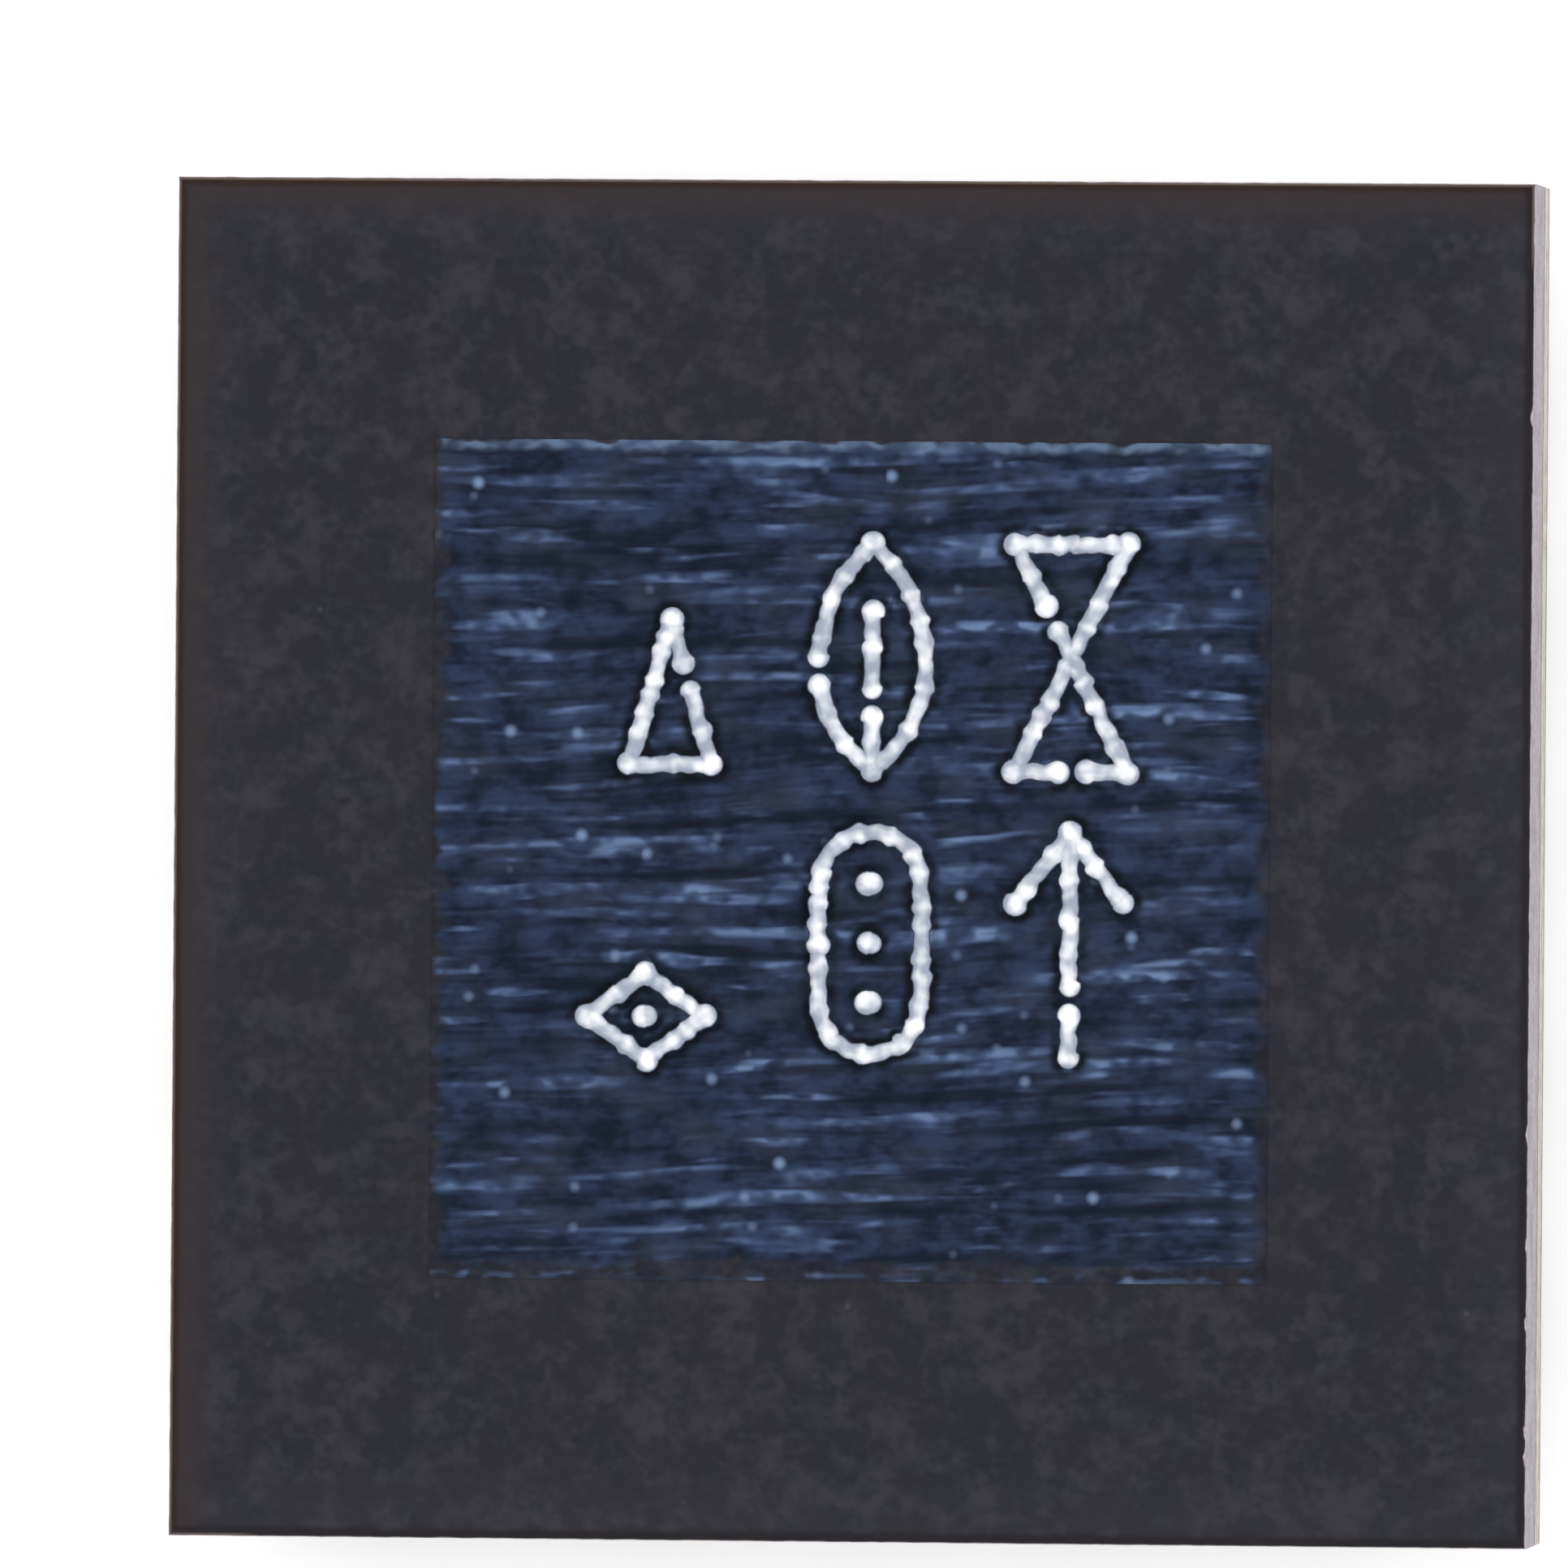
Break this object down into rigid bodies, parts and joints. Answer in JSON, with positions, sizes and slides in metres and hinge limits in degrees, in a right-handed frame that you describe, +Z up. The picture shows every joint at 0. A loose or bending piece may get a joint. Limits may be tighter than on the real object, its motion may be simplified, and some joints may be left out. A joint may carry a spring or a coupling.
{
  "type": "ball grid array chip",
  "caption": "Square moulded flip-chip package with the die's ground back bare on top and a full grid of solder balls beneath.",
  "frame": {"origin": "centre of the plane that the solder balls stand on", "axes": "+Z up through the bare back of the die, +X along the rows from ball A1 to ball A6, +Y from row F towards row A"},
  "size_m": [0.003, 0.003, 0.0007],
  "materials": {
    "mould": "matt black epoxy mould compound, sawn on its sides",
    "silicon": "ground silicon, blue-grey with fine grinding lines",
    "solder": "bright reflowed tin alloy",
    "copper": "bare etched copper",
    "laminate": "glass-filled laminate, tan, with a sawn edge",
    "solder_mask": "brown-black solder mask, satin"
  },
  "bodies": {
    "root": {"ball_a1": "solder", "ball_a2": "solder", "ball_a3": "solder", "ball_a4": "solder", "ball_a5": "solder", "ball_a6": "solder", "ball_b1": "solder", "ball_b2": "solder", "ball_b3": "solder", "ball_b4": "solder", "ball_b5": "solder", "ball_b6": "solder", "ball_c1": "solder", "ball_c2": "solder", "ball_c3": "solder", "ball_c4": "solder", "ball_c5": "solder", "ball_c6": "solder", "ball_d1": "solder", "ball_d2": "solder", "ball_d3": "solder", "ball_d4": "solder", "ball_d5": "solder", "ball_d6": "solder", "ball_e1": "solder", "ball_e2": "solder", "ball_e3": "solder", "ball_e4": "solder", "ball_e5": "solder", "ball_e6": "solder", "ball_f1": "solder", "ball_f2": "solder", "ball_f3": "solder", "ball_f4": "solder", "ball_f5": "solder", "ball_f6": "solder", "mould_compound": "mould", "silicon_die": "silicon", "copper_pillars": "copper", "solder_caps": "solder", "top_solder_mask": "solder_mask", "top_copper": "copper", "substrate_core": "laminate", "plated_vias": "copper", "bottom_copper": "copper", "bottom_solder_mask": "solder_mask", "index_mark": "copper"}
  },
  "joints": []
}
